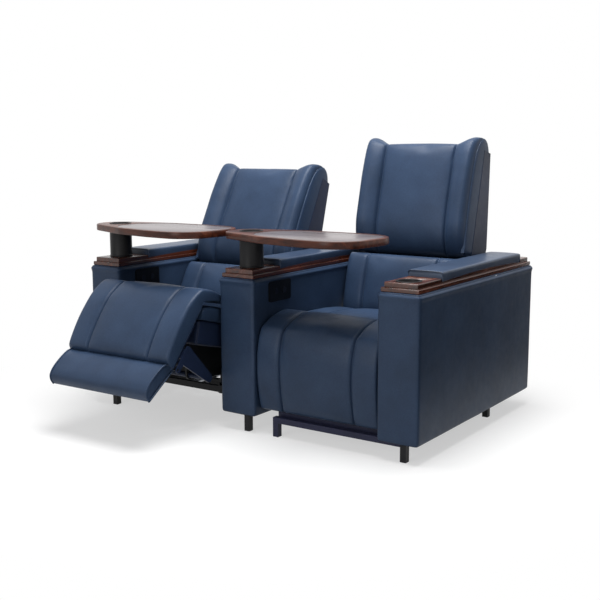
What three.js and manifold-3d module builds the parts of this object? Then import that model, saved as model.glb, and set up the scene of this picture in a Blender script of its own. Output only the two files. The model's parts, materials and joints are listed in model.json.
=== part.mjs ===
// Row of two motorised cinema recliners that share a middle arm.
// Millimetres, +Z up. The sitters face -Y. The left seat lies open with its leg rest out,
// the right seat is upright. The row stands on the plane z = 0, and the origin is under
// the middle of its outline as it rests.

import * as THREE from "three";
import { mergeVertices } from "three/addons/utils/BufferGeometryUtils.js";
import { RoundedBoxGeometry } from "three/addons/geometries/RoundedBoxGeometry.js";
import Module from "manifold-3d";

const wasm = await Module();
wasm.setup();

// Row
const seatPitch = 734;
const slip = 0.3;
const overrun = 2;
const roundSides = 16;
const steelWall = 8;

// Arms, with the front face at y = 0
const armWidth = 172;
const armLength = 1070;
const armBottom = 70;
const armTop = 630;
const armRadius = 14;
const capInset = 8;
const capStep = 9;
const capLowerThickness = 15;
const capUpperThickness = 20;
const armPadStart = 205;
const armPadEnd = 985;
const armPadThickness = 34;
const armPadInset = 14;

// Cup holder in the right arm
const cupSetback = 78;
const cupRadius = 42;
const cupWall = 2;
const cupDepth = 62;
const cupLip = 7;
const cupLipThickness = 3;

// Swivel table on each of the other two arms
const postSetback = 105;
const postRadius = 50;
const postHeight = 118;
const postBore = 45;
const postBoreDepth = 80;
const tableThickness = 28;
const tableEdge = 4;
const tableEndRadius = 104;
const tableSpare = 128;
const tableSwing = -5;
const matThickness = 3;
const matRim = 17;

// Switch panel on the inner face of an arm, and its two buttons
const panelLength = 150;
const panelHeight = 84;
const panelThickness = 6;
const panelStart = 100;
const panelBottom = 526;
const panelCorner = 10;
const buttonRadius = 13;
const buttonSpacing = 56;
const buttonLift = 2;
const buttonProud = 1.5;

// Feet
const footSize = 25;
const footPlate = 5;
const footFront = 34;
const footRear = 768;
const footOffset = 16;
const middleFootOffset = 30;
const frontRailLeg = 174;
const frontRailBottom = 57;
const frontRailTop = 80;

// Fixed frame under each seat: two rails on two cross tubes
const frameTube = 30;
const frameFront = 320;
const frameRear = 905;
const railFromArm = 81;
const railWidth = 25;
const railHeight = 40;
const railWall = 3;
const railStart = 302;
const railEnd = 935;
const railBottom = 105;

// Carriage that glides on the rails, and the drive that moves it. The upright seat stands set back
// between its arms, and all the drawings below are made before that shift.
const seatSetback = 25;
const glideTravel = 361;
const carriageStart = 450;
const carriageEnd = 880;
const carriageTop = 152;
const carriagePlate = 6;
const carriageFromArm = 103;
const crossbarDepth = 20;
const crossbarHeight = 26;
const strapWidth = 50;
const strapSetback = 60;
const driveRadius = 17;
const driveBore = 11;
const driveRodRadius = 10;
const driveHeight = 125;
const driveStart = 560;
const driveEnd = 930;
const motorRadius = 20;
const motorLength = 70;

// Seat box, cushion and seat frame
const boxFromArm = 19;
const boxFront = 175;
const boxRear = 620;
const boxBottom = 298;
const boxTop = 400;
const boxRadius = 10;
const cushionFromArm = 11;
const cushionRear = 600;
const cushionThickness = 70;
const seamWidth = 9;
const seamDepth = 6;
const plateFromArm = 111;
const webFront = 240;
const ringRadius = 18;
const shaftRadius = 11;
const shaftPlay = 0.4;
const flangeWidth = 30;
const flangeThickness = 4;
const tubeRadius = 10;
const frontTubeY = 300;
const rearTubeY = 560;
const seatTubeZ = 262;

// Pivots, in the upright pose
const tiltY = 483;
const tiltZ = 200;
const tiltAngle = 13.7;
const legPivotY = 268;
const legPivotZ = 172;
const legAngle = 26.3;
const backPivotY = 660;
const backPivotZ = 360;
const backLean = 14;

// Leg rest
const padFromArm = 5;
const padInnerY = 55;
const padBottom = 106;
const padFlatHeight = 268;
const padThickness = 72;
const padArcRadius = 312;
const boardThickness = 12;
const boardTop = 300;
const boardBottom = 101;
const boardFromArm = 13;
const swingFromArm = 6.5;
const swingFrontY = 84;
const swingTopZ = 200;
const swingLowZ = 146;
const swingCorner = 12;
const swingPlateTop = 190;
const swingPlateBottom = 150;
const flapPivotY = 78;
const flapPivotZ = 104;
const flapRodRadius = 5;
const flapRing = 11;
const flapFromSwing = 6.5;
const flapLength = 176;
const flapThickness = 62;
const flapInset = 6;
const flapBoardThickness = 8;
const flapBoardFromArm = 41;
const flapFolded = 180;
const flapOpen = -15;
const earInset = 12;

// Back rest, in its own frame: z runs up the back from its pivot and y points rearward
const backFromArm = 6;
const lumbarBottom = 40;
const lumbarTop = 328;
const lumbarInner = -19;
const lumbarThickness = 50;
const backBottom = 340;
const backTop = 812;
const backInner = 50;
const backThickness = 84;
const wingReach = 56;
const wingLift = 40;
const uprightFromArm = 99;
const uprightDepth = 36;
const uprightTop = 700;
const uprightJogLow = 260;
const uprightJogHigh = 318;
const shellFront = 93;
const shellBottom = 100;
const shellTop = 806;
const shellTopDepth = 20;
const shellBellyDepth = 105;
const shellBellyHeight = 400;
const shellBottomDepth = 60;
const shellFlange = 18;
const hingeRodRadius = 9;

// Shapes chosen by hand, as shares of the sizes that they follow
const seamShare = 0.587;
const backSeamShare = 0.612;
const tableCornerShare = 0.211;
const tableSpreadShare = 0.091;
const tableWaistShares = [0.355, 0.277];
const tableBellyShares = [0.619, 0.305];
const plainPadShare = 0.4;
const innerPanelShare = 0.5;
const flapBoardShare = 0.9;
const wingRiseShare = 1.6;
const wingLiftPower = 6;
const padFlatShares = [[0, 0.47], [0.06, 0.62], [0.3, 0.84], [0.55, 0.97], [0.8, 1], [1, 0.93]];
const padArcShares = [[45, 0.8], [50, 0.84], [57, 0.74], [65, 0.46], [72, 0.26], [77.4, 0.14]];
const cushionShares = [
  [0, 0.012, 0.5], [0.02, 0.045, 0.84], [0.12, 0.14, 0.98], [0.35, 0.35, 1],
  [0.6, 0.6, 0.92], [0.85, 0.85, 0.78], [0.97, 0.97, 0.64], [1, 1, 0.4]];
const lumbarShares = [[0, 0.45], [0.06, 0.78], [0.25, 0.95], [0.5, 1], [0.75, 0.96], [0.93, 0.8], [1, 0.5]];
const backShares = [
  [0, 0.5], [0.03, 0.82], [0.14, 0.96], [0.35, 1], [0.6, 1], [0.8, 0.99], [0.93, 0.93],
  [0.985, 0.8], [1, 0.5]];
const wingShares = [0.35, 0.6, 0.85, 1, 1, 0.92, 0.62, 0.35, 0.2];
const flapShares = [[0.05, 0.5], [0.09, 0.82], [0.2, 1], [0.55, 1], [0.85, 0.93], [0.95, 0.78], [1, 0.42]];
const armPadShares = [[0, 0.45], [0.015, 0.85], [0.06, 1], [0.5, 1], [0.94, 1], [0.985, 0.85], [1, 0.45]];
const edgeShares = [[0.8, 0.985], [0.93, 0.86], [1, 0.5]];

// Worked out from the sizes above
const capTop = armTop + capLowerThickness + capUpperThickness;
const tableBottom = capTop + postHeight + slip;
const tableTop = tableBottom + tableThickness;
const halfGap = (seatPitch - armWidth) / 2;
const seamOffset = seamShare * halfGap;
const backSeamOffset = backSeamShare * halfGap;
const railGauge = halfGap - railFromArm;
const carriageGauge = halfGap - carriageFromArm;
const plateGauge = halfGap - plateFromArm;
const uprightGauge = halfGap - uprightFromArm;
const swingGauge = halfGap - swingFromArm;
const boxHalfWidth = halfGap - boxFromArm;
const cushionHalfWidth = halfGap - cushionFromArm;
const padHalfWidth = halfGap - padFromArm;
const boardHalfWidth = halfGap - boardFromArm;
const flapHalfWidth = swingGauge - flapFromSwing;
const flapBoardHalfWidth = halfGap - flapBoardFromArm;
const backHalfWidth = halfGap - backFromArm;
const tableReach = seatPitch - tableSpare;
const tableCornerRadius = tableCornerShare * tableReach;
const railTop = railBottom + railHeight;

const leather = material(0x263a59, 0.42, 0);
const leatherDark = material(0x1b2842, 0.5, 0);
const timber = material(0x4a2a1e, 0.35, 0);
const laminate = material(0x2a2524, 0.4, 0);
const blackPlastic = material(0x131316, 0.45, 0);
const blackSteel = material(0x16171a, 0.4, 0.8);
const zincSteel = material(0x8d9096, 0.4, 0.9);

const row = new THREE.Group();

function material(color, roughness, metalness) {
  return new THREE.MeshStandardMaterial({ color, roughness, metalness });
}

function addPart(parent, name, geometry, look) {
  const mesh = new THREE.Mesh(geometry, look);
  mesh.name = name;
  parent.add(mesh);
  return mesh;
}

// Solids and booleans

function solidOf(geometry) {
  const bare = geometry.clone();
  bare.deleteAttribute("normal");
  bare.deleteAttribute("uv");
  const merged = mergeVertices(bare);
  const vertProperties = new Float32Array(merged.attributes.position.array);
  const triVerts = new Uint32Array(merged.index.array);
  return new wasm.Manifold(new wasm.Mesh({ numProp: 3, vertProperties, triVerts }));
}

function geometryOf(solid) {
  const mesh = solid.getMesh();
  const geometry = new THREE.BufferGeometry();
  geometry.setAttribute("position", new THREE.BufferAttribute(new Float32Array(mesh.vertProperties), 3));
  geometry.setIndex(new THREE.BufferAttribute(new Uint32Array(mesh.triVerts), 1));
  geometry.computeVertexNormals();
  return geometry;
}

function weld(...pieces) {
  const solids = pieces.map(solidOf);
  return geometryOf(solids.reduce((whole, next) => whole.add(next)));
}

function cut(piece, ...tools) {
  const solids = tools.map(solidOf);
  return geometryOf(solids.reduce((left, tool) => left.subtract(tool), solidOf(piece)));
}

// A box given by its lowest and highest corners
function block(low, high) {
  const size = high.map((value, axis) => value - low[axis]);
  const geometry = new THREE.BoxGeometry(...size);
  return geometry.translate(...low.map((value, axis) => value + size[axis] / 2));
}

function softBlock(low, high, radius) {
  const size = high.map((value, axis) => value - low[axis]);
  const geometry = new RoundedBoxGeometry(...size, 2, radius);
  return geometry.translate(...low.map((value, axis) => value + size[axis] / 2));
}

// A round bar along X
function crossRod(radius, halfLength, y, z) {
  const geometry = new THREE.CylinderGeometry(radius, radius, 2 * halfLength, roundSides);
  return geometry.rotateZ(Math.PI / 2).translate(0, y, z);
}

// A round bar along Y
function lengthRod(radius, start, end, x, z) {
  const geometry = new THREE.CylinderGeometry(radius, radius, end - start, roundSides);
  return geometry.translate(x, (start + end) / 2, z);
}

function turned(points) {
  const profile = points.map(([radius, height]) => new THREE.Vector2(radius, height));
  return new THREE.LatheGeometry(profile, 2 * roundSides).rotateX(Math.PI / 2);
}

// The outline stretched round a set of circles, each given as x, y and radius
function hullShape(circles, steps = roundSides) {
  const points = [];
  for (const [x, y, radius] of circles) {
    for (let i = 0; i < steps; i += 1) {
      const angle = (2 * Math.PI * i) / steps;
      points.push([x + radius * Math.cos(angle), y + radius * Math.sin(angle)]);
    }
  }
  points.sort((a, b) => a[0] - b[0] || a[1] - b[1]);
  const turn = (o, a, b) => (a[0] - o[0]) * (b[1] - o[1]) - (a[1] - o[1]) * (b[0] - o[0]);
  const chain = (list) => {
    const kept = [];
    for (const point of list) {
      while (kept.length > 1 && turn(kept.at(-2), kept.at(-1), point) <= 0) kept.pop();
      kept.push(point);
    }
    return kept.slice(0, -1);
  };
  const outline = [...chain(points), ...chain(points.reverse())];
  return new THREE.Shape(outline.map(([x, y]) => new THREE.Vector2(x, y)));
}

// A plate that stands across X: its shape is drawn in Y and Z, centred on x
function plateAcross(shape, x, thickness) {
  const geometry = new THREE.ExtrudeGeometry(shape, { depth: thickness, bevelEnabled: false });
  geometry.rotateY(Math.PI / 2).rotateX(Math.PI / 2);
  return geometry.translate(x - thickness / 2, 0, 0);
}

function polygonShape(points) {
  return new THREE.Shape(points.map(([y, z]) => new THREE.Vector2(y, z)));
}

// Padded bodies

// Places across a pad, from -1 to 1, with close places at the seams and the edges
function acrossShares(halfWidth, seam) {
  const right = [0];
  if (seam) {
    right.push((innerPanelShare * (seam - seamWidth)) / halfWidth);
    right.push((seam - seamWidth) / halfWidth);
    right.push(seam / halfWidth);
    right.push((seam + seamWidth) / halfWidth);
  } else {
    right.push(plainPadShare);
  }
  right.push(...edgeShares.map(([share]) => share));
  const left = right.slice(1).reverse().map((share) => -share);
  return [...left, ...right];
}

function edgeFall(share) {
  const found = edgeShares.find(([place]) => Math.abs(place - Math.abs(share)) < 1e-6);
  return found ? found[1] : 1;
}

// A padded body. Each station is { inner: [y, z], outer: [y, z] }. The body swells by crown in
// the middle, draws in by pull between its corners and has a sewn channel at each seam.
function padded(stations, options) {
  const { halfWidth, seam = 0, crown = 0, pull = 0, wing = () => [0, 0] } = options;
  const shares = acrossShares(halfWidth, seam);
  const last = stations.length - 1;
  const positions = [];
  const place = (share, station, along, outerSide) => {
    const [iy, iz] = stations[station].inner;
    const [oy, oz] = stations[station].outer;
    const depth = Math.hypot(oy - iy, oz - iz);
    const middle = Math.sin(Math.PI * along);
    const swell = crown * middle * Math.cos((Math.PI / 2) * share) ** 2;
    const groove = seam && Math.abs(Math.abs(share) - seam / halfWidth) < 1e-6 ? seamDepth : 0;
    const [reach, lift] = wing(share, station);
    const out = outerSide ? depth * edgeFall(share) + swell * edgeFall(share) - groove + reach : 0;
    const x = share * (halfWidth - pull * middle);
    positions.push(x, iy + ((oy - iy) / depth) * out, iz + ((oz - iz) / depth) * out + lift);
  };
  stations.forEach((unused, station) => {
    const along = station / last;
    shares.forEach((share) => place(share, station, along, true));
    [...shares].reverse().forEach((share) => place(share, station, along, false));
  });
  const ring = 2 * shares.length;
  const index = [];
  for (let station = 0; station < last; station += 1) {
    for (let i = 0; i < ring; i += 1) {
      const a = station * ring + i;
      const b = station * ring + ((i + 1) % ring);
      index.push(a, b, b + ring, a, b + ring, a + ring);
    }
  }
  for (let i = 0; i < shares.length - 1; i += 1) {
    const start = [i, i + 1, ring - 2 - i, ring - 1 - i];
    const end = start.map((corner) => corner + last * ring);
    index.push(start[0], start[2], start[1], start[0], start[3], start[2]);
    index.push(end[0], end[1], end[2], end[0], end[2], end[3]);
  }
  return outward(positions, index);
}

// Makes the geometry, turned inside out if its faces point in
function outward(positions, index) {
  let volume = 0;
  const point = (i) => new THREE.Vector3().fromArray(positions, 3 * index[i]);
  for (let i = 0; i < index.length; i += 3) {
    volume += point(i).dot(point(i + 1).cross(point(i + 2)));
  }
  const faces = volume > 0 ? index : index.slice().reverse();
  const geometry = new THREE.BufferGeometry();
  geometry.setAttribute("position", new THREE.Float32BufferAttribute(positions, 3));
  geometry.setIndex(faces);
  geometry.computeVertexNormals();
  return geometry;
}

// A plug the size of a cup's bore, centred on the origin
function cupHole(depth) {
  const radius = cupRadius + slip;
  return new THREE.CylinderGeometry(radius, radius, depth, 2 * roundSides).rotateX(Math.PI / 2);
}

// Arms

function armBody(x, hasCup) {
  const half = armWidth / 2;
  const body = softBlock([x - half, 0, armBottom], [x + half, armLength, armTop], armRadius);
  if (!hasCup) return body;
  const depth = cupDepth - capLowerThickness - capUpperThickness + overrun;
  return cut(body, cupHole(2 * depth).translate(x, cupSetback, armTop));
}

// The timber cap has a wide lower step and a narrow upper one
function armCap(x, hasCup) {
  const half = armWidth / 2;
  const step = (inset, low, high) => block(
    [x - half + inset, inset, low], [x + half - inset, armLength - inset, high]);
  const seam = armTop + capLowerThickness;
  const lower = step(capInset, armTop, seam);
  const upper = step(capInset + capStep, seam - slip, capTop);
  if (!hasCup) return weld(lower, upper);
  return cut(weld(lower, upper), cupHole(4 * capUpperThickness).translate(x, cupSetback, seam));
}

function armPad(x) {
  const length = armPadEnd - armPadStart;
  const base = capTop + slip;
  const stations = armPadShares.map(([along, thickness]) => {
    const y = armPadStart + along * length;
    return { inner: [y, base], outer: [y, base + thickness * armPadThickness] };
  });
  const halfWidth = armWidth / 2 - armPadInset;
  return padded(stations, { halfWidth, crown: 0, pull: slip }).translate(x, 0, 0);
}

// A leg under each end of an arm, joined by a flat strip
function footRail(x) {
  const half = footSize / 2;
  const leg = (y) => block([x - half, y - half, 0], [x + half, y + half, armBottom - slip]);
  const strip = block(
    [x - half, footFront - half, armBottom - footPlate], [x + half, footRear + half, armBottom]);
  return weld(strip, leg(footFront), leg(footRear));
}

// The rail under the front of the right seat, from its own leg to the leg of the right arm.
// Its end steps down to pass under the arm.
function frontRail() {
  const half = footSize / 2;
  const armFace = seatPitch - armWidth / 2 - slip;
  const end = seatPitch + footOffset - half - slip;
  const bar = (near, far, low, high) => block([near, footFront - half, low], [far, footFront + half, high]);
  return weld(
    bar(frontRailLeg - half, armFace, frontRailBottom, frontRailTop),
    bar(armFace - overrun, end, frontRailBottom, armBottom - slip),
    bar(frontRailLeg - half, frontRailLeg + half, 0, frontRailTop - overrun));
}

function cupHolder(top) {
  const inner = cupRadius - cupWall;
  const lip = cupRadius + cupLip;
  const profile = [
    [0, -cupDepth], [cupRadius, -cupDepth], [cupRadius, slip], [lip, slip], [lip, cupLipThickness],
    [inner, cupLipThickness], [inner, cupWall - cupDepth], [0, cupWall - cupDepth]];
  return turned(profile).translate(0, 0, top);
}

// Swivel tables

function tablePost(x) {
  const floor = postHeight - postBoreDepth;
  const profile = [
    [0, 0], [postRadius, 0], [postRadius, postHeight], [postBore, postHeight], [postBore, floor], [0, floor]];
  return turned(profile).translate(x, postSetback, capTop);
}

// Circles whose common outline is the table top, inset by rim
function tableCircles(rim) {
  const corner = tableReach - tableCornerRadius;
  const spread = tableSpreadShare * tableReach;
  const middles = [tableWaistShares, tableBellyShares].map(([along, radius]) => (
    [along * tableReach, 0, radius * tableReach - rim]));
  return [
    [corner, -spread, tableCornerRadius - rim], [corner, spread, tableCornerRadius - rim], ...middles];
}

function tableShape() {
  return hullShape([[0, 0, tableEndRadius], ...tableCircles(0)], 2 * roundSides);
}

function matShape(grow) {
  return hullShape(tableCircles(matRim - grow), 2 * roundSides);
}

function tableTopPiece() {
  const bevel = {
    bevelThickness: tableEdge, bevelSize: tableEdge, bevelOffset: -tableEdge, bevelSegments: 2,
  };
  const depth = tableThickness - 2 * tableEdge;
  const slab = new THREE.ExtrudeGeometry(tableShape(), { depth, ...bevel });
  const pocket = new THREE.ExtrudeGeometry(matShape(slip), { depth: tableThickness, bevelEnabled: false });
  const hole = cupHole(4 * tableThickness);
  slab.translate(0, 0, tableBottom + tableEdge);
  pocket.translate(0, 0, tableTop - matThickness - slip);
  hole.translate(0, 0, tableTop);
  return cut(slab, pocket, hole);
}

function tableMat() {
  const mat = new THREE.ExtrudeGeometry(matShape(0), { depth: matThickness - slip, bevelEnabled: false });
  return mat.translate(0, 0, tableTop - matThickness);
}

// Switch panels

function buttonPlaces(x) {
  const middle = panelStart + panelLength / 2;
  const height = panelBottom + panelHeight / 2;
  return [-1, 1].map((side) => [x, middle + (side * buttonSpacing) / 2, height]);
}

function switchPanel(x) {
  const shape = hullShape([panelCorner, panelLength - panelCorner].flatMap((y) => (
    [panelCorner, panelHeight - panelCorner].map((z) => [y + panelStart, z + panelBottom, panelCorner]))));
  const plate = plateAcross(shape, x + panelThickness / 2, panelThickness);
  const holes = buttonPlaces(x).map(([bx, y, z]) => crossRod(
    buttonRadius + slip, 4 * panelThickness, y, z).translate(bx, 0, 0));
  return cut(plate, ...holes);
}

function switchButton([x, y, z]) {
  const length = panelThickness + buttonProud - buttonLift;
  return crossRod(buttonRadius, length / 2, y, z).translate(x + buttonLift + length / 2, 0, 0);
}

// Fixed frame and drive of one seat

function baseFrame() {
  const end = halfGap - slip;
  const top = railBottom + railWall / 2;
  const tube = (y) => block(
    [-end, y - frameTube / 2, top - frameTube], [end, y + frameTube / 2, top]);
  const outer = railGauge + railWidth / 2;
  const inner = railGauge - railWidth / 2;
  const rail = (side) => {
    const span = [[inner, outer, railBottom, railBottom + railWall],
      [inner, outer, railTop - railWall, railTop],
      [outer - railWall, outer, railBottom, railTop]];
    return span.map(([near, far, low, high]) => {
      const xs = [side * near, side * far].sort((a, b) => a - b);
      return block([xs[0], railStart, low], [xs[1], railEnd, high]);
    });
  };
  const cradle = block(
    [-driveRadius, frameRear - frameTube / 2, top - slip],
    [driveRadius, frameRear + frameTube / 2, driveHeight - driveRadius / 2]);
  const channel = lengthRod(driveRadius + slip, driveStart, driveEnd + overrun, 0, driveHeight);
  return cut(weld(tube(frameFront), tube(frameRear), ...rail(-1), ...rail(1), cradle), channel);
}

// Tube with a bore for the rod, open at its front, and the motor beside its rear end
function driveMotor() {
  const tube = lengthRod(driveRadius, driveStart, driveEnd, 0, driveHeight);
  const bore = lengthRod(driveBore, driveStart - overrun, driveEnd - driveRadius, 0, driveHeight);
  const start = frameRear - frameTube / 2 - motorLength - overrun;
  const beside = motorRadius + driveRadius - overrun;
  const motor = lengthRod(motorRadius, start, start + motorLength, beside, driveHeight);
  return cut(weld(tube, motor), bore);
}

function carriage() {
  const half = carriagePlate / 2;
  const low = railBottom + railWall + slip;
  const pieces = [];
  for (const side of [-1, 1]) {
    const x = side * carriageGauge;
    const tongueEnd = side * (railGauge + railWidth / 2 - railWall - slip);
    const tongue = [x, tongueEnd].sort((a, b) => a - b);
    const upright = hullShape([
      [tiltY, tiltZ, ringRadius], [tiltY, carriageTop - ringRadius, ringRadius + carriagePlate]]);
    pieces.push(block([x - half, carriageStart, low], [x + half, carriageEnd, carriageTop]));
    pieces.push(block([tongue[0], carriageStart, low], [tongue[1], carriageEnd, railTop - railWall - slip]));
    pieces.push(plateAcross(upright, x, carriagePlate));
  }
  const rearStrap = carriageEnd - strapSetback;
  pieces.push(block(
    [-carriageGauge, carriageStart, driveHeight - crossbarHeight / 2],
    [carriageGauge, carriageStart + crossbarDepth, driveHeight + crossbarHeight / 2]));
  pieces.push(block(
    [-carriageGauge, rearStrap, carriageTop - carriagePlate],
    [carriageGauge, rearStrap + strapWidth, carriageTop]));
  pieces.push(crossRod(shaftRadius, carriageGauge + half, tiltY, tiltZ));
  return weld(...pieces);
}

function driveRod() {
  const start = carriageStart + crossbarDepth + slip;
  const end = driveEnd - driveRadius - seatSetback - overrun;
  return lengthRod(driveRodRadius, start, end, 0, driveHeight);
}

// Seat

function seatFrame() {
  const pieces = [];
  const top = boxBottom - slip;
  const neck = (seatTubeZ + backPivotZ) / 2;
  for (const side of [-1, 1]) {
    const x = side * plateGauge;
    const web = hullShape([
      [legPivotY, legPivotZ, ringRadius], [tiltY, tiltZ, ringRadius],
      [webFront, top - ringRadius, ringRadius], [rearTubeY, top - ringRadius, ringRadius]]);
    const tail = hullShape([
      [rearTubeY, top - ringRadius, ringRadius], [backPivotY - slip, seatTubeZ, ringRadius]]);
    const lug = hullShape([
      [backPivotY, seatTubeZ, ringRadius], [backPivotY, neck, ringRadius],
      [backPivotY, backPivotZ, ringRadius]]);
    pieces.push(...[web, tail, lug].map((shape) => plateAcross(shape, x, steelWall)));
    const flange = [x, x - side * flangeWidth].sort((a, b) => a - b);
    pieces.push(block(
      [flange[0], webFront, top - flangeThickness], [flange[1], rearTubeY, top]));
  }
  pieces.push(crossRod(tubeRadius, plateGauge, frontTubeY, seatTubeZ));
  pieces.push(crossRod(tubeRadius, plateGauge, rearTubeY, seatTubeZ));
  const span = plateGauge + 4 * steelWall;
  const holes = [
    crossRod(shaftRadius + shaftPlay, span, legPivotY, legPivotZ),
    crossRod(shaftRadius + shaftPlay, span, tiltY, tiltZ),
    crossRod(hingeRodRadius + shaftPlay, span, backPivotY, backPivotZ)];
  return cut(weld(...pieces), ...holes);
}

function seatBox() {
  return softBlock([-boxHalfWidth, boxFront, boxBottom], [boxHalfWidth, boxRear, boxTop], boxRadius);
}

function seatCushion() {
  const base = boxTop + slip;
  const length = cushionRear - boxFront;
  const stations = cushionShares.map(([innerAlong, outerAlong, thickness]) => ({
    inner: [boxFront + innerAlong * length, base],
    outer: [boxFront + outerAlong * length, base + thickness * cushionThickness] }));
  return padded(stations, { halfWidth: cushionHalfWidth, seam: seamOffset, crown: 0, pull: 3 * slip });
}

// Leg rest: flat behind for the board, then an arc about the leg rest's pivot that slides
// over the front of the seat cushion
function legPad() {
  const flat = padFlatShares.map(([along, thickness]) => {
    const z = padBottom + along * padFlatHeight;
    return { inner: [padInnerY, z], outer: [padInnerY - thickness * padThickness, z] };
  });
  const arc = padArcShares.map(([degrees, thickness]) => {
    const angle = THREE.MathUtils.degToRad(degrees);
    const at = (radius) => [legPivotY - radius * Math.cos(angle), legPivotZ + radius * Math.sin(angle)];
    return { inner: at(padArcRadius), outer: at(padArcRadius + thickness * padThickness) };
  });
  return padded([...flat, ...arc], { halfWidth: padHalfWidth, seam: seamOffset, crown: 0, pull: 4 * slip });
}

function legBoard() {
  const front = padInnerY + slip;
  return block([-boardHalfWidth, front, boardBottom], [boardHalfWidth, front + boardThickness, boardTop]);
}

function legFrame() {
  const back = padInnerY + boardThickness + 2 * slip;
  const pieces = [];
  for (const side of [-1, 1]) {
    const x = side * swingGauge;
    const arm = hullShape([
      [legPivotY, legPivotZ, ringRadius], [swingFrontY, swingTopZ, swingCorner],
      [swingFrontY, swingLowZ, swingCorner]]);
    const lug = hullShape([
      [swingFrontY, swingLowZ, swingCorner], [flapPivotY + flapRing / 2, flapPivotZ, flapRing]]);
    pieces.push(plateAcross(arm, x, steelWall), plateAcross(lug, x, steelWall));
  }
  const front = back + carriagePlate;
  pieces.push(block([-swingGauge, back, swingPlateBottom], [swingGauge, front, swingPlateTop]));
  pieces.push(crossRod(shaftRadius, swingGauge + steelWall / 2, legPivotY, legPivotZ));
  const hole = crossRod(flapRodRadius + shaftPlay, swingGauge + 2 * steelWall, flapPivotY, flapPivotZ);
  return cut(weld(...pieces), hole);
}

// Flap, hanging straight down from its pivot at the origin
function flapCushion() {
  const stations = flapShares.map(([along, thickness]) => {
    const z = -along * flapLength;
    return { inner: [-flapInset, z], outer: [-flapInset - thickness * (flapThickness - flapInset), z] };
  });
  return padded(stations, { halfWidth: flapHalfWidth, crown: 0, pull: 3 * slip });
}

function flapBoard() {
  const front = slip - flapInset;
  const low = -flapBoardShare * flapLength;
  const board = block(
    [-flapBoardHalfWidth, front, low], [flapBoardHalfWidth, front + flapBoardThickness, -earInset]);
  const pieces = [board, crossRod(flapRodRadius, swingGauge + steelWall / 2, 0, 0)];
  for (const side of [-1, 1]) {
    const ear = hullShape([[0, 0, flapInset], [0, -3 * earInset, flapInset - slip]]);
    pieces.push(plateAcross(ear, side * (flapBoardHalfWidth - steelWall), steelWall));
  }
  return weld(...pieces);
}

// Back rest, standing on its pivot at the origin and leaned by its group

function lumbarCushion() {
  const length = lumbarTop - lumbarBottom;
  const stations = lumbarShares.map(([along, thickness]) => {
    const z = lumbarBottom + along * length;
    return { inner: [lumbarInner, z], outer: [lumbarInner - thickness * lumbarThickness, z] };
  });
  return padded(stations, { halfWidth: cushionHalfWidth, seam: backSeamOffset, crown: 0, pull: 3 * slip });
}

// The centre panel lies between two wings that reach forward and rise above it
function backCushion() {
  const length = backTop - backBottom;
  const stations = backShares.map(([along, thickness]) => {
    const z = backBottom + along * length;
    return { inner: [backInner, z], outer: [backInner - thickness * backThickness, z] };
  });
  const seamShare = (backSeamOffset + seamWidth) / backHalfWidth;
  const wing = (share, station) => {
    const beyond = Math.max(0, (Math.abs(share) - seamShare) / (1 - seamShare));
    const rise = Math.min(1, wingRiseShare * beyond);
    const along = backShares[station][0];
    const reach = wingReach * wingShares[station] * rise * (2 - edgeFall(share)) / 2;
    return [reach, wingLift * rise * along ** wingLiftPower];
  };
  return padded(stations, { halfWidth: backHalfWidth, seam: backSeamOffset, crown: 0, pull: 3 * slip, wing });
}

function backFrame() {
  const half = uprightDepth / 2;
  const front = backInner + slip;
  const outline = [
    [-half, 0], [half, 0], [half, uprightJogLow], [front + uprightDepth, uprightJogHigh],
    [front + uprightDepth, uprightTop], [front, uprightTop], [front, uprightJogHigh + half],
    [-half, uprightJogLow + half]];
  const pieces = [];
  for (const side of [-1, 1]) {
    const x = side * uprightGauge;
    const ring = hullShape([[0, 0, ringRadius], [0, half, ringRadius]]);
    pieces.push(plateAcross(polygonShape(outline), x, steelWall), plateAcross(ring, x, steelWall));
  }
  const strap = (z, y) => block(
    [-uprightGauge, y, z], [uprightGauge, y + carriagePlate, z + strapWidth]);
  pieces.push(strap(lumbarBottom + strapWidth, -carriagePlate / 2));
  pieces.push(strap(uprightJogLow - strapWidth, -carriagePlate / 2));
  pieces.push(strap(uprightTop - strapWidth, front + half));
  pieces.push(crossRod(hingeRodRadius, uprightGauge + steelWall / 2, 0, 0));
  return weld(...pieces);
}

function backShell() {
  const rear = [
    [shellFront, shellBottom], [shellFront + shellBottomDepth, shellBottom],
    [shellFront + shellBellyDepth, shellBellyHeight], [shellFront + shellTopDepth, shellTop],
    [shellFront, shellTop]];
  const belly = plateAcross(polygonShape(rear), 0, 2 * backHalfWidth);
  const flange = (side) => {
    const xs = [side * backHalfWidth, side * (backHalfWidth - shellFlange)].sort((a, b) => a - b);
    return block([xs[0], backInner + slip, backBottom], [xs[1], shellFront + overrun, shellTop]);
  };
  const lintel = block(
    [-backHalfWidth, backInner + slip, shellTop - shellFlange],
    [backHalfWidth, shellFront + overrun, shellTop]);
  return weld(belly, flange(-1), flange(1), lintel);
}

// A group that turns its children about an X axis through a pivot
function pivotGroup(parent, y, z, degrees, keepsPlaces) {
  const hinge = new THREE.Group();
  hinge.position.set(0, y, z);
  hinge.rotation.x = THREE.MathUtils.degToRad(degrees);
  parent.add(hinge);
  if (!keepsPlaces) return hinge;
  const content = new THREE.Group();
  content.position.set(0, -y, -z);
  hinge.add(content);
  return content;
}

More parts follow.
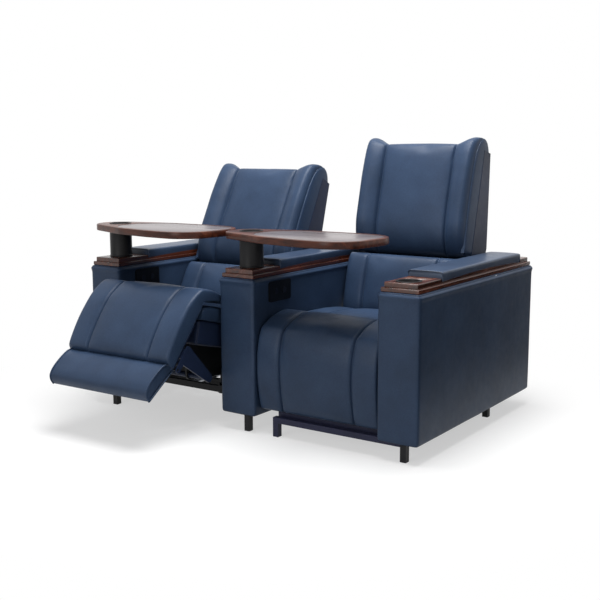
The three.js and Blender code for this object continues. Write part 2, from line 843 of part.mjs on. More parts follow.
// One seat. Openness runs from 0, upright, to 1, open.
function makeSeat(side, x, openness) {
  const seat = new THREE.Group();
  seat.position.x = x;
  row.add(seat);
  addPart(seat, `base_frame_${side}`, baseFrame(), blackSteel);
  addPart(seat, `drive_motor_${side}`, driveMotor(), blackPlastic);

  const glide = new THREE.Group();
  glide.position.y = seatSetback - glideTravel * openness;
  seat.add(glide);
  addPart(glide, `glide_carriage_${side}`, carriage(), blackSteel);
  addPart(glide, `drive_rod_${side}`, driveRod(), zincSteel);

  const tilt = pivotGroup(glide, tiltY, tiltZ, -tiltAngle * openness, true);
  addPart(tilt, `seat_frame_${side}`, seatFrame(), blackSteel);
  addPart(tilt, `seat_box_${side}`, seatBox(), leatherDark);
  addPart(tilt, `seat_cushion_${side}`, seatCushion(), leather);

  const leg = pivotGroup(tilt, legPivotY, legPivotZ, -legAngle * openness, true);
  addPart(leg, `legrest_frame_${side}`, legFrame(), leatherDark);
  addPart(leg, `legrest_board_${side}`, legBoard(), leatherDark);
  addPart(leg, `legrest_pad_${side}`, legPad(), leather);

  const flapAngle = THREE.MathUtils.lerp(flapFolded, flapOpen, openness);
  const flap = pivotGroup(leg, flapPivotY, flapPivotZ, flapAngle, false);
  addPart(flap, `legrest_flap_board_${side}`, flapBoard(), blackSteel);
  addPart(flap, `legrest_flap_${side}`, flapCushion(), leather);

  const back = pivotGroup(tilt, backPivotY, backPivotZ, -backLean, false);
  addPart(back, `back_frame_${side}`, backFrame(), blackSteel);
  addPart(back, `lumbar_cushion_${side}`, lumbarCushion(), leather);
  addPart(back, `back_cushion_${side}`, backCushion(), leather);
  addPart(back, `back_shell_${side}`, backShell(), leatherDark);
}

function makeArm(name, x, footShift, hasCup = false) {
  addPart(row, `arm_${name}`, armBody(x, hasCup), leather);
  addPart(row, `arm_cap_${name}`, armCap(x, hasCup), timber);
  addPart(row, `arm_pad_${name}`, armPad(x), leather);
  addPart(row, `foot_rail_${name}`, footRail(x + footShift), blackSteel);
}

function makeTable(name, x) {
  addPart(row, `table_post_${name}`, tablePost(x), blackPlastic);
  const table = new THREE.Group();
  table.position.set(x, postSetback, 0);
  table.rotation.z = THREE.MathUtils.degToRad(tableSwing);
  row.add(table);
  addPart(table, `table_top_${name}`, tableTopPiece(), timber);
  addPart(table, `table_mat_${name}`, tableMat(), laminate);
  addPart(table, `table_cup_${name}`, cupHolder(tableTop), blackPlastic);
}

function makeSwitches(name, armX) {
  const face = armX + armWidth / 2;
  addPart(row, `switch_panel_${name}`, switchPanel(face + slip), blackPlastic);
  buttonPlaces(face + slip).forEach((place, index) => {
    addPart(row, `switch_button_${name}_${index + 1}`, switchButton(place), zincSteel);
  });
}

makeArm("left", -seatPitch, footOffset);
makeArm("middle", 0, middleFootOffset);
makeArm("right", seatPitch, footOffset, true);
addPart(row, "front_rail_right", frontRail(), leatherDark);
addPart(row, "cup_holder_right", cupHolder(capTop).translate(seatPitch, cupSetback, 0), blackPlastic);
makeTable("left", -seatPitch);
makeTable("middle", 0);
makeSwitches("left", -seatPitch);
makeSwitches("middle", 0);
makeSeat("left", -seatPitch / 2, 1);
makeSeat("right", seatPitch / 2, 0);

// Put the origin under the middle of the outline
const outline = new THREE.Box3().setFromObject(row, true);
const middle = outline.getCenter(new THREE.Vector3());
row.position.set(-middle.x, -middle.y, -outline.min.z);

export default row;
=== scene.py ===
"""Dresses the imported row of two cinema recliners: leather, sewn cushions, timber and studio."""

import json
import math

import bmesh
import bpy
import numpy as np
from mathutils import Matrix, Vector, noise


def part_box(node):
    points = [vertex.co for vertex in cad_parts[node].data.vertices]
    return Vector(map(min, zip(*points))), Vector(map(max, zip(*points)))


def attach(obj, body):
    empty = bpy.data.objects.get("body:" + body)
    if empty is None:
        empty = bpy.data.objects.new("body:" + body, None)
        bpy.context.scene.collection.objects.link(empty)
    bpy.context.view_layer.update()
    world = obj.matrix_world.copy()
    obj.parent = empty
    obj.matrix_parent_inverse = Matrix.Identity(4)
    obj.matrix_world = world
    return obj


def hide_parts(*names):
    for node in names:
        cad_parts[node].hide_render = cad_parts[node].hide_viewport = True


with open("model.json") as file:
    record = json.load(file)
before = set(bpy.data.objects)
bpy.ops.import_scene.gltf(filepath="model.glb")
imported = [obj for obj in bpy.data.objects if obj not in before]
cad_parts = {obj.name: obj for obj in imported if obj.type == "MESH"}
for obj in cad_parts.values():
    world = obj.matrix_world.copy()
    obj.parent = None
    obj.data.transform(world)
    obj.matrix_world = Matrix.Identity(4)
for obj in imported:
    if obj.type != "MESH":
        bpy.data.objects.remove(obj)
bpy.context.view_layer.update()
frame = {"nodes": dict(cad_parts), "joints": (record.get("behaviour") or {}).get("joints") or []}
joints = {joint["name"]: joint for joint in frame["joints"]}

# Sizes in metres. The ones that the solids also have repeat the solids' values.
MM = 0.001
SLIP = 0.0003
MERGE_GAP = 0.00002
SMOOTH_ANGLE = 35

# Camera of the photograph
VIEW_AZIMUTH = 34.44
VIEW_ELEVATION = 9.0
VIEW_ROLL = -0.14
VIEW_STAND = (2.372, -3.008, 1.147)
VIEW_FOCAL = 58.08
SENSOR = 36.0

# Seat
SEAM = 0.165
BACK_SEAM = 0.172
LEAN = 14.0
SETBACK = 0.025
PAD_INNER = 0.055
PAD_BOTTOM = 0.097
PAD_FLAT = 0.277
PAD_THICK = 0.072
PAD_RADIUS = 0.3125
PAD_RISE = 0.008
PAD_SIDE = 0.82
PAD_ROUND = 0.012
BOX_ROUND = 0.012
BOX_SPACING = 0.05
BOX_TOP = 0.400
CUSHION_FRONT = 0.175
CUSHION_REAR = 0.600
CUSHION_THICK = 0.058
CUSHION_RISE = 0.004
LUMBAR_BOTTOM = 0.040
LUMBAR_TOP = 0.317
LUMBAR_INNER = -0.019
LUMBAR_THICK = 0.050
LUMBAR_RISE = 0.005
LUMBAR_ROUND = 0.024
BACK_BOTTOM = 0.330
BACK_TOP = 0.823
BACK_INNER = 0.050
BACK_THICK = 0.084
WING_REACH = 0.031
WING_LIFT = 0.031
WING_LIFT_RATE = 1.4
WING_LIFT_POWER = 6
WING_ROUND = 0.024
WING_SIDE = 0.6
BACK_NARROW = 0.006
SIDE_THICK = 0.016
SIDE_PROUD = 0.003
FLAP_LENGTH = 0.176
FLAP_THICK = 0.048
FLAP_INSET = 0.006
FLAP_RISE = 0.0005
FLAP_SIDE = 0.93
FLAP_ROUND = 0.005
WELT = 0.0032
WELT_SIDES = 8
VALANCE_SETBACK = 0.060
VALANCE_THICK = 0.006
VALANCE_BOTTOM = 0.062
VALANCE_TOP = 0.0955

# Arms and boxes with soft edges
ARM_RADIUS = 0.014
ARM_SPACING = 0.045
ARM_ROLL = 0.013
ARM_PROUD = 0.0045
ARM_SWELL = 0.0012
ARM_UNEVEN = 0.0008
ARM_UNEVEN_RATE = 9.0
GATHER_DEPTH = 0.001
GATHER_RATE = 60
GATHER_REACH = 0.03
ARM_PAD_SHORT = 0.026
ARM_PAD_LOW = 0.009
ARM_PAD_DROP = 0.013
ARM_PAD_RISE = 0.0015
ARM_PAD_RADIUS = 0.010
ARM_PAD_SIDE = 0.8
CAP_TOP = 0.665
CAP_STEP = 0.009
CAP_LOWER_THICK = 0.015
CAP_LOWER_RADIUS = 0.003
CAP_UPPER_RADIUS = 0.004
PLAIN_SPACING = 0.2
ROUND_SHARES = (0.0, 0.25, 0.5, 0.75, 1.0)
SEAM_SHIFTS = (-0.008, -0.003, 0.0, 0.003, 0.008)
CUT_DECIMALS = 6

# Cups, posts and tables
ROUND_SIDES = 72
ROUND_DECIMALS = 7
BORE_SIDES = 96
TURNED_BEVEL = 0.0012
TURNED_ANGLE = 40
POST_BORE = 0.045
POST_BORE_DEPTH = 0.08
POST_GROOVE = 0.0015
POST_FOOT = 0.006
POST_HEAD = 0.010
TABLE_EDGE = 0.028
TABLE_END = 0.104
TABLE_REACH = 0.606
TABLE_CORNER = 0.211 * TABLE_REACH
TABLE_SPREAD = 0.091 * TABLE_REACH
TABLE_WAIST = (0.355 * TABLE_REACH, 0.277 * TABLE_REACH)
TABLE_BELLY = (0.619 * TABLE_REACH, 0.305 * TABLE_REACH)
TABLE_SWING = -5.0
TABLE_RIM = 0.017
TABLE_POCKET = 0.0022
POCKET_OVERRUN = 0.01
CUP_RADIUS = 0.042
CUP_DEPTH = 0.062
CUP_WALL = 0.002
CUP_LIP = 0.007
CUP_LIP_THICK = 0.003
CUP_CORNER = 0.003

# The edges of the tables, their faces and the back's side panels: inset and height, from the bottom up
TABLE_ROUNDS = ((0.004, 0.0), (0.0012, 0.0012), (0.0, 0.004), (0.0, TABLE_EDGE - 0.005),
                (0.0014, TABLE_EDGE - 0.0014), (0.005, TABLE_EDGE))
FACE_ROUNDS = ((0.0003, -0.0021), (0.0003, -0.0014), (0.0009, -0.0011))
SIDE_ROUNDS = ((0.0, 0.0), (0.0, SIDE_THICK - 0.005), (0.0015, SIDE_THICK - 0.0015), (0.005, SIDE_THICK),
               (0.016, SIDE_THICK + 0.002))

# A cushion's places across, from its middle, from a sewn channel and in from its edge
MIDDLE_PLACES = (0.0, 0.03, 0.06, 0.09, 0.115, 0.135)
CHANNEL_PLACES = (-0.014, -0.0065, -0.0025, 0.0, 0.0025, 0.0065, 0.014, 0.03, 0.05)
PLAIN_PLACES = (0.0, 0.03, 0.06, 0.09, 0.12, 0.15, 0.18, 0.21)
EDGE_PLACES = (0.040, 0.030, 0.022, 0.017, 0.012, 0.008, 0.004, 0.0015, 0.0)
EDGE_ROOM = 0.045

# How cushions swell between their channels, draw in and pucker
RISE = 0.006
SIDE_RISE_SHARE = 0.7
CHANNEL_DEPTH = 0.010
CHANNEL_WIDTH = 0.0045
SIDE_SHARE = 0.75
EDGE_RADIUS = 0.016
EDGE_POWER = 2.4
END_SHARE = 0.06
WAIST = 0.004
WAIST_RADIUS = 0.05
PUCKER_DEPTH = 0.0012
PUCKER_REACH = 0.016
PUCKER_CLEAR = 0.006
PUCKER_RATE = 34.0
PUCKER_SIDES = 3.0
UNEVEN_DEPTH = 0.0012
UNEVEN_RATES = (14, 6, 9, 5)

# Cloth simulation of the cushions
CLOTH_PRESSURE = 3.0
CLOTH_CAP = 0.010
CLOTH_FRAMES = 16
CLOTH_QUALITY = 6
CLOTH_MASS = 0.4
CLOTH_STRETCH = 25
CLOTH_SHEAR = 12
CLOTH_BEND = 2.0
HELD_ANYWHERE = 0.12
HELD_SIDE = 0.9
HELD_SIDE_REACH = 0.012
HELD_CHANNEL = 0.004

# Studio
FLOOR_SIZE = 40
FLOOR_GREY = 0.5
FLOOR_GLOW = 0.53
FLOOR_ROUGHNESS = 0.9
FLOOR_FADE = (0.95, 1.7)
AMBIENT = 0.24
CARD_X = 1.12
CARD_Y = (-0.5, 1.9)
CARD_Z = (0.0, 0.68)
CARD_BLACK = (0.003, 0.003, 0.004, 1)
LAMP_SIZE = 2.2
LAMPS = (("overhead", (0.3, -0.1, 3.2), (0.1, 0, 0.4), 128), ("front", (-0.3, -4.2, 1.7), (0, 0, 0.5), 36))

# Grain of the materials. A noise is scale, detail, roughness and distortion, a bump distance and strength.
GLOSS = 0.2
WHITE = (1, 1, 1, 1)
LEATHER_MOTTLE = (7.0, 4.0, 0.55)
LEATHER_FINE = (160.0, 3.0, 0.6)
LEATHER_FOLDS = (24.0, 2.0, 0.5, 0.6)
LEATHER_SHEEN_SCALE = 30.0
LEATHER_CELLS = 420.0
LEATHER_STOPS = (0.3, 0.5, 0.72)
PORES = ((0.3, (0.62, 0.62, 0.66, 1)), (0.6, WHITE))
PORES_SHARE = 0.35
CELL_BUMP = (0.0004, 0.35)
FINE_BUMP = (0.0005, 0.25)
FOLD_BUMP = (0.004, 0.12)
TIMBER_STRETCH = (26.0, 1.4)
TIMBER_FIGURE = (1.0, 6.0, 0.62, 1.2)
TIMBER_FIBRES = (9.0, 4.0, 0.7)
TIMBER_STOPS = (0.32, 0.5, 0.68)
VEINS = ((0.35, (0.45, 0.4, 0.38, 1)), (0.6, WHITE))
VEINS_SHARE = 0.5
FIBRE_BUMP = (0.0004, 0.3)
LACQUER = (0.06, 0.18)
PLASTIC_DETAIL = 2.0
PLASTIC_BROAD = (12.0, 3.0)
PLASTIC_STOPS = (0.4, 0.75)
PLASTIC_WORN = (1.5, 0.002)
PLASTIC_BUMP = (0.0002, 0.25)
PLASTIC_SPREAD = (-0.06, 0.1)

# How the cushions are shaped, as shares of their sizes
PAD_SHARES = ((0, 0.34), (0.02, 0.54), (0.08, 0.70), (0.3, 0.88), (0.55, 0.98), (0.8, 0.98), (1, 0.86))
PAD_ARC_SHARES = ((45, 0.68), (50, 0.63), (57, 0.52), (65, 0.34), (72, 0.2), (77, 0.12))
CUSHION_SHARES = (
    (0, 0.01, 0.42), (0.01, 0.03, 0.78), (0.1, 0.12, 0.96), (0.35, 0.35, 1.0),
    (0.6, 0.6, 0.94), (0.85, 0.85, 0.8), (0.97, 0.97, 0.62), (1, 1, 0.34))
LUMBAR_SHARES = ((0, 0.4), (0.05, 0.76), (0.22, 0.96), (0.5, 1.0), (0.75, 0.98), (0.93, 0.8), (1, 0.4))
BACK_SHARES = (
    (0, 0.16), (0.02, 0.38), (0.06, 0.6), (0.12, 0.79), (0.2, 0.93), (0.32, 1.0), (0.6, 1.0), (0.8, 0.99),
    (0.94, 0.92), (0.985, 0.78), (1, 0.46))
WING_SHARES = ((0, 0.42), (0.2, 0.72), (0.4, 1.0), (0.62, 0.98), (0.8, 0.66), (0.92, 0.32), (1, 0.16))
WING_RISE = ((0, 0), (0.1, 0.3), (0.25, 0.65), (0.5, 0.95), (0.75, 1.0), (1, 1.0))
FLAP_SHARES = (
    (0.06, 0.4), (0.085, 0.7), (0.135, 0.94), (0.26, 1.12), (0.5, 1.18), (0.75, 1.12), (0.91, 0.94),
    (0.98, 0.7), (1.01, 0.4))
SIDE_FRONT = ((0.345, -0.020), (0.5, -0.030), (0.65, -0.030), (0.76, -0.022), (0.815, -0.004))
SIDE_LOBE = ((0.842, 0.018), (0.855, 0.042), (0.848, 0.072), (0.825, 0.095), (0.79, 0.109))
SIDE_REAR = ((0.7, 0.118), (0.6, 0.124), (0.45, 0.134), (0.345, 0.132))
ARM_PAD_SHARES = ((0, 0.55), (0.008, 0.86), (0.03, 1.0), (0.5, 1.0), (0.97, 1.0), (0.992, 0.86), (1, 0.55))

# How many steps a cushion's outline takes between one row of its shares and the next
PAD_STEPS = (2, 3, 5, 5, 5, 5, 4, 3, 3, 3, 3, 3)
BACK_STEPS = (3, 3, 3, 4, 4, 6, 6, 5, 3, 3)
ARM_PAD_STEPS = (2, 2, 8, 8, 2, 2)
PLAIN_STEPS = 4

# The joints that carry a piece of each kind of body from the right seat's place to the left's
CHAINS = {
    "seat": ("glide_right", "tilt_right"),
    "legrest": ("glide_right", "tilt_right", "legrest_hinge_right"),
    "flap": ("glide_right", "tilt_right", "legrest_hinge_right", "flap_hinge_right"),
    "back": ("glide_right", "tilt_right"),
}


def joint_at(name):
    return Vector(joints[name]["pos_m"])


def half_width(node):
    low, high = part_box(node)
    return (high[0] - low[0]) / 2


ARM_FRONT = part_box("arm_right")[0][1]
SEAT_X = joint_at("tilt_right").x
LEG_PIVOT = joint_at("legrest_hinge_right")
FLAP_PIVOT = joint_at("flap_hinge_right")
BACK_PIVOT = joint_at("recline_right")
ROW_SHIFT = Vector((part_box("arm_middle")[0][0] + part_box("arm_middle")[1][0], 2 * ARM_FRONT, 0)) / 2


# Shader helpers


def new_material(name):
    material = bpy.data.materials.new(name)
    material.use_nodes = True
    tree = material.node_tree
    shader = tree.nodes["Principled BSDF"]
    return material, tree, shader


def add_node(tree, kind, **values):
    node = tree.nodes.new(kind)
    for key, value in values.items():
        if key in node.inputs:
            node.inputs[key].default_value = value
        else:
            setattr(node, key, value)
    return node


def linear(code):
    """A linear colour from a hex code."""
    channels = [int(code[i:i + 2], 16) / 255 for i in (0, 2, 4)]
    return [c / 12.92 if c <= 0.04045 else ((c + 0.055) / 1.055) ** 2.4 for c in channels] + [1.0]


def object_coordinates(tree, scale=(1, 1, 1)):
    texture = add_node(tree, "ShaderNodeTexCoord")
    mapping = add_node(tree, "ShaderNodeMapping")
    mapping.inputs["Scale"].default_value = scale
    tree.links.new(texture.outputs["Object"], mapping.inputs["Vector"])
    return mapping.outputs["Vector"]


def noise_at(tree, vector, scale, detail=3.0, roughness=0.5, distortion=0.0):
    node = add_node(tree, "ShaderNodeTexNoise", Scale=scale, Detail=detail, Roughness=roughness)
    node.inputs["Distortion"].default_value = distortion
    tree.links.new(vector, node.inputs["Vector"])
    return node.outputs["Fac"]


def ramp(tree, factor, stops):
    node = add_node(tree, "ShaderNodeValToRGB")
    elements = node.color_ramp.elements
    while len(elements) < len(stops):
        elements.new(0.5)
    for element, (place, colour) in zip(elements, stops):
        element.position = place
        element.color = colour
    tree.links.new(factor, node.inputs["Fac"])
    return node.outputs["Color"]


def span(tree, factor, low, high):
    node = add_node(tree, "ShaderNodeMapRange")
    node.inputs["To Min"].default_value = low
    node.inputs["To Max"].default_value = high
    tree.links.new(factor, node.inputs["Value"])
    return node.outputs["Result"]


def bump(tree, height, size, below=None):
    distance, strength = size
    node = add_node(tree, "ShaderNodeBump", Strength=strength, Distance=distance)
    tree.links.new(height, node.inputs["Height"])
    if below:
        tree.links.new(below, node.inputs["Normal"])
    return node.outputs["Normal"]


def darkened(tree, colour, factor, stops, share):
    """A colour, multiplied by a share of what the stops give for the factor."""
    node = add_node(tree, "ShaderNodeMixRGB", blend_type="MULTIPLY", Fac=share)
    tree.links.new(colour, node.inputs["Color1"])
    tree.links.new(ramp(tree, factor, stops), node.inputs["Color2"])
    return node.outputs["Color"]


def set_look(tree, shader, colour, normal, roughness, gloss):
    tree.links.new(colour, shader.inputs["Base Color"])
    tree.links.new(normal, shader.inputs["Normal"])
    tree.links.new(roughness, shader.inputs["Roughness"])
    shader.inputs["Specular IOR Level"].default_value = gloss


def leather(name, colours, gloss=GLOSS, rough=(0.34, 0.5)):
    """Grained leather: pebbled cells, faint creases and a softly mottled colour."""
    material, tree, shader = new_material(name)
    vector = object_coordinates(tree)
    mottle = noise_at(tree, vector, *LEATHER_MOTTLE)
    fine = noise_at(tree, vector, *LEATHER_FINE)
    colour = ramp(tree, mottle, list(zip(LEATHER_STOPS, map(linear, colours))))
    cells = add_node(tree, "ShaderNodeTexVoronoi", Scale=LEATHER_CELLS, feature="DISTANCE_TO_EDGE")
    tree.links.new(vector, cells.inputs["Vector"])
    grain = bump(tree, span(tree, cells.outputs["Distance"], 0.0, 1.0), CELL_BUMP)
    grain = bump(tree, fine, FINE_BUMP, grain)
    grain = bump(tree, noise_at(tree, vector, *LEATHER_FOLDS), FOLD_BUMP, grain)
    roughness = span(tree, noise_at(tree, vector, LEATHER_SHEEN_SCALE), *rough)
    set_look(tree, shader, darkened(tree, colour, fine, PORES, PORES_SHARE), grain, roughness, gloss)
    return material


def timber(name, along, colours, gloss=GLOSS, rough=(0.26, 0.42)):
    """Timber with its grain along one axis, under a satin lacquer."""
    material, tree, shader = new_material(name)
    stretch = [TIMBER_STRETCH[axis == along] for axis in "XYZ"]
    vector = object_coordinates(tree, stretch)
    figure = noise_at(tree, vector, *TIMBER_FIGURE)
    fibres = noise_at(tree, vector, *TIMBER_FIBRES)
    colour = ramp(tree, figure, list(zip(TIMBER_STOPS, map(linear, colours))))
    colour = darkened(tree, colour, fibres, VEINS, VEINS_SHARE)
    set_look(tree, shader, colour, bump(tree, fibres, FIBRE_BUMP), span(tree, figure, *rough), gloss)
    shader.inputs["Coat Weight"].default_value = LACQUER[0]
    shader.inputs["Coat Roughness"].default_value = LACQUER[1]
    return material


def plastic(name, colour, roughness, grain_scale, metallic=0.0):
    """Moulded plastic or painted metal with a fine, even texture."""
    material, tree, shader = new_material(name)
    vector = object_coordinates(tree)
    fine = noise_at(tree, vector, grain_scale, PLASTIC_DETAIL)
    broad = noise_at(tree, vector, *PLASTIC_BROAD)
    base = linear(colour)
    gain, lift = PLASTIC_WORN
    worn = [min(1.0, c * gain + lift) for c in base[:3]] + [1.0]
    smooth, rough = (roughness + shift for shift in PLASTIC_SPREAD)
    look = ramp(tree, broad, list(zip(PLASTIC_STOPS, (base, worn))))
    set_look(tree, shader, look, bump(tree, fine, PLASTIC_BUMP), span(tree, broad, smooth, rough), GLOSS)
    shader.inputs["Metallic"].default_value = metallic
    return material


WALNUT_COLOURS = ("2c130c", "4f2719", "6b3a28")
NAVY = leather("navy_leather", ("2a3a51", "2e3f58", "33455f"))
# Painted shade: the navy leather darkened for the parts that sit in shade, the seat box, the leg rest's
# frame and board and the back's rear shell
NAVY_PAINTED_SHADE = leather("navy_leather_painted_shade", ("1a243a", "1e2942", "222e4a"))
NAVY_PAD = leather("navy_leather_pad", ("2d3b52", "324158", "37475f"), 0.35, (0.3, 0.44))
NAVY_STRIP = leather("navy_strip", ("26283c", "2a2c44", "2f314a"))
WALNUT_Y = timber("walnut_along_arm", "Y", WALNUT_COLOURS, 0.6, (0.2, 0.32))
WALNUT_X = timber("walnut_along_table", "X", WALNUT_COLOURS)
TABLE_FACE = timber("table_laminate", "X", ("5a5254", "686062", "787071"), 0.6, (0.22, 0.36))
BLACK_PLASTIC = plastic("black_plastic", "141416", 0.42, 900.0)
GLOSS_PLASTIC = plastic("gloss_plastic", "08080b", 0.34, 300.0)
GUNMETAL = plastic("gunmetal", "2b2d33", 0.35, 900.0, 0.8)
BLACK_STEEL = plastic("black_steel", "17181b", 0.4, 1400.0)
ZINC = plastic("zinc_steel", "a9adb4", 0.3, 700.0, 1.0)


# Mesh helpers


def make_object(name, vertices, faces, material):
    mesh = bpy.data.meshes.new(name)
    mesh.from_pydata([tuple(v) for v in vertices], [], faces)
    mesh.materials.append(material)
    obj = bpy.data.objects.new(name, mesh)
    bpy.context.scene.collection.objects.link(obj)
    welded = bmesh.new()
    welded.from_mesh(mesh)
    bmesh.ops.remove_doubles(welded, verts=welded.verts, dist=MERGE_GAP)
    bmesh.ops.recalc_face_normals(welded, faces=welded.faces)
    welded.to_mesh(mesh)
    welded.free()
    mesh.shade_smooth()
    return obj


def apply_modifier(obj, modifier):
    with bpy.context.temp_override(object=obj, active_object=obj, selected_objects=[obj]):
        bpy.ops.object.modifier_apply(modifier=modifier.name)


def subdivide(obj):
    modifier = obj.modifiers.new("smooth", "SUBSURF")
    modifier.levels = 1
    modifier.render_levels = 1
    apply_modifier(obj, modifier)
    obj.data.shade_smooth()


def ring_faces(rows, count):
    """Faces between rows of points, where each row is a closed ring of the same count."""
    faces = []
    for row in range(rows - 1):
        for i in range(count):
            a = row * count + i
            b = row * count + (i + 1) % count
            faces.append((a, b, b + count, a + count))
    return faces


def slab(name, layers, material):
    """A solid from outlines of equal count, each with its height, from the bottom up."""
    count = len(layers[0][0])
    vertices = [(x, y, z) for outline, z in layers for x, y in outline]
    faces = ring_faces(len(layers), count)
    top = (len(layers) - 1) * count
    faces.append(tuple(range(count - 1, -1, -1)))
    faces.append(tuple(range(top, top + count)))
    return make_object(name, vertices, faces, material)


def inset_outline(outline, distance):
    """Moves each point of a convex outline inward along its normal."""
    count = len(outline)
    moved = []
    for i, (x, y) in enumerate(outline):
        before = outline[i - 1]
        after = outline[(i + 1) % count]
        dx, dy = after[0] - before[0], after[1] - before[1]
        size = math.hypot(dx, dy)
        moved.append((x - dy / size * distance, y + dx / size * distance))
    return moved


def smooth_by_angle(obj):
    with bpy.context.temp_override(object=obj, active_object=obj, selected_objects=[obj],
                                   selected_editable_objects=[obj]):
        bpy.ops.object.shade_smooth_by_angle(angle=math.radians(SMOOTH_ANGLE))


def tube(name, path, radius, material):
    """A round cord along a closed path at one x, used for piping."""
    points = [Vector(p) for p in path]
    vertices = []
    for i, point in enumerate(points):
        along = (points[(i + 1) % len(points)] - points[i - 1]).normalized()
        out = along.cross(Vector((1, 0, 0))).normalized()
        other = along.cross(out)
        for j in range(WELT_SIDES):
            angle = 2 * math.pi * j / WELT_SIDES
            vertices.append(point + radius * (math.cos(angle) * out + math.sin(angle) * other))
    faces = ring_faces(len(points) + 1, WELT_SIDES)
    faces = [tuple(corner % len(vertices) for corner in face) for face in faces]
    return make_object(name, vertices, faces, material)


def merge(obj, others):
    with bpy.context.temp_override(object=obj, active_object=obj, selected_objects=[obj, *others],
                                   selected_editable_objects=[obj, *others]):
        bpy.ops.object.join()


def carve(obj, tool):
    modifier = obj.modifiers.new("cut", "BOOLEAN")
    modifier.operation = "DIFFERENCE"
    modifier.object = tool
    modifier.solver = "EXACT"
    apply_modifier(obj, modifier)
    bpy.data.objects.remove(tool)


def ease(value):
    value = min(1.0, max(0.0, value))
    return value * value * (3 - 2 * value)


def table_value(shares, place):
    """Reads a table of (place, value) shares, with straight lines between its entries."""
    places = [entry[0] for entry in shares]
    values = [entry[1] for entry in shares]
    return float(np.interp(place, places, values))


def smooth_curve(points, steps):
    """A Catmull-Rom curve through rows of numbers, with a count of steps for all or for each gap."""
    rows = np.array(points, float)
    padded_rows = np.vstack([2 * rows[0] - rows[1], rows, 2 * rows[-1] - rows[-2]])
    out = []
    for i in range(1, len(padded_rows) - 2):
        a, b, c, d = padded_rows[i - 1:i + 3]
        count = steps[i - 1] if isinstance(steps, tuple) else steps
        for t in np.arange(count) / count:
            out.append(0.5 * (2 * b + (c - a) * t + (2 * a - 5 * b + 4 * c - d) * t ** 2
                              + (3 * b - 3 * c + d - a) * t ** 3))
    out.append(rows[-1])
    return np.array(out)


def across_places(half, seam):
    """Places across a cushion, close together at its sewn channels and rounded edges."""
    right = [*MIDDLE_PLACES, *(seam + step for step in CHANNEL_PLACES)] if seam else PLAIN_PLACES
    right = [x for x in right if x < half - EDGE_ROOM] + [half - step for step in EDGE_PLACES]
    return [-x for x in reversed(right[1:])] + right


def edge_round(x, half, radius):
    over = max(0.0, abs(x) - (half - radius)) / radius
    return max(0.0, 1 - over ** EDGE_POWER) ** (1 / EDGE_POWER)


def channel(x, seam, width=CHANNEL_WIDTH):
    return math.exp(-((abs(x) - seam) / width) ** 2) if seam else 0.0


def puff(x, half, seam, rise):
    """The swell of a panel between its seams."""
    if not seam:
        return rise * (1 - (x / half) ** 2)
    if abs(x) < seam:
        return rise * (1 - (abs(x) / seam) ** 4) ** 0.5
    middle = (seam + half) / 2
    return SIDE_RISE_SHARE * rise * (1 - min(1.0, abs(abs(x) - middle) / (half - middle)) ** 4) ** 0.5


def pucker(x, along, seam):
    """The small gathers that stitching pulls into leather beside a seam."""
    if not seam:
        return 0.0
    near = math.exp(-(abs(abs(x) - seam) / PUCKER_REACH)) - channel(x, seam, PUCKER_CLEAR)
    wave = noise.noise(Vector((along * PUCKER_RATE, math.copysign(PUCKER_SIDES, x), 0.0)))
    return PUCKER_DEPTH * max(0.0, near) * wave


def cushion_swell(x, along, row, count, half, seam, rise):
    """How far a cushion's face stands out: its panels, channels, puckers and small unevenness."""
    across, down, high, deep = UNEVEN_RATES
    end = ease(min(along, 1 - along) / END_SHARE)
    swell = (puff(x, half, seam, rise) - CHANNEL_DEPTH * channel(x, seam)) * end
    swell += pucker(x, along * count, seam)
    spot = Vector((x * across, along * down, row[1] * high + row[0] * deep))
    return swell + UNEVEN_DEPTH * noise.noise(spot) * end


def cushion(name, rows, half, seam, material, rise=RISE, side=SIDE_SHARE, reach=None, radius=EDGE_RADIUS,
            narrow=WAIST):
    """A sewn cushion. Each row gives inner y, z and outer y, z, in metres in the upright seat.
    side is the share of the thickness that its side faces keep, and reach(x, along) gives what
    the wings add: forward along the pad's depth, and up."""
    xs = across_places(half, seam)
    count = len(rows)
    vertices = []
    for index, row in enumerate(rows):
        iy, iz, oy, oz = row
        along = index / (count - 1)
        thick = math.hypot(oy - iy, oz - iz)
        out = ((oy - iy) / thick, (oz - iz) / thick)
        waist = narrow * math.sin(math.pi * along)
        for x in xs:
            ahead, lift = reach(x, along) if reach else (0.0, 0.0)
            full = (thick + ahead) * (1 - (1 - edge_round(x, half, radius)) * (1 - side))
            swell = cushion_swell(x, along, row, count, half, seam, rise)
            stand = full + swell * edge_round(x, half, radius)
            sx = x * (1 - waist / half * edge_round(x, half, WAIST_RADIUS))
            vertices.append((sx, iy + out[0] * stand, iz + out[1] * stand + lift))
        for x in reversed(xs):
            lift = reach(x, along)[1] if reach else 0.0
            vertices.append((x * (1 - waist / half), iy, iz + lift))
    ring = 2 * len(xs)
    faces = ring_faces(count, ring)
    for i in range(len(xs) - 1):
        first = (i, i + 1, ring - 2 - i, ring - 1 - i)
        faces.append(first)
        faces.append(tuple(corner + (count - 1) * ring for corner in first))
    obj = make_object(name, vertices, faces, material)
    obj["seam"] = seam
    obj["half"] = half
    return obj


def hold_still(obj):
    """Makes the group that holds the cushion's channels and sides still, and the rest only a little."""
    group = obj.vertex_groups.new(name="held")
    for vertex in obj.data.vertices:
        hold = channel(vertex.co.x, obj["seam"], HELD_CHANNEL)
        if abs(vertex.co.x) > obj["half"] - HELD_SIDE_REACH:
            hold = max(hold, HELD_SIDE)
        group.add([vertex.index], max(HELD_ANYWHERE, hold), "REPLACE")
    return group.name


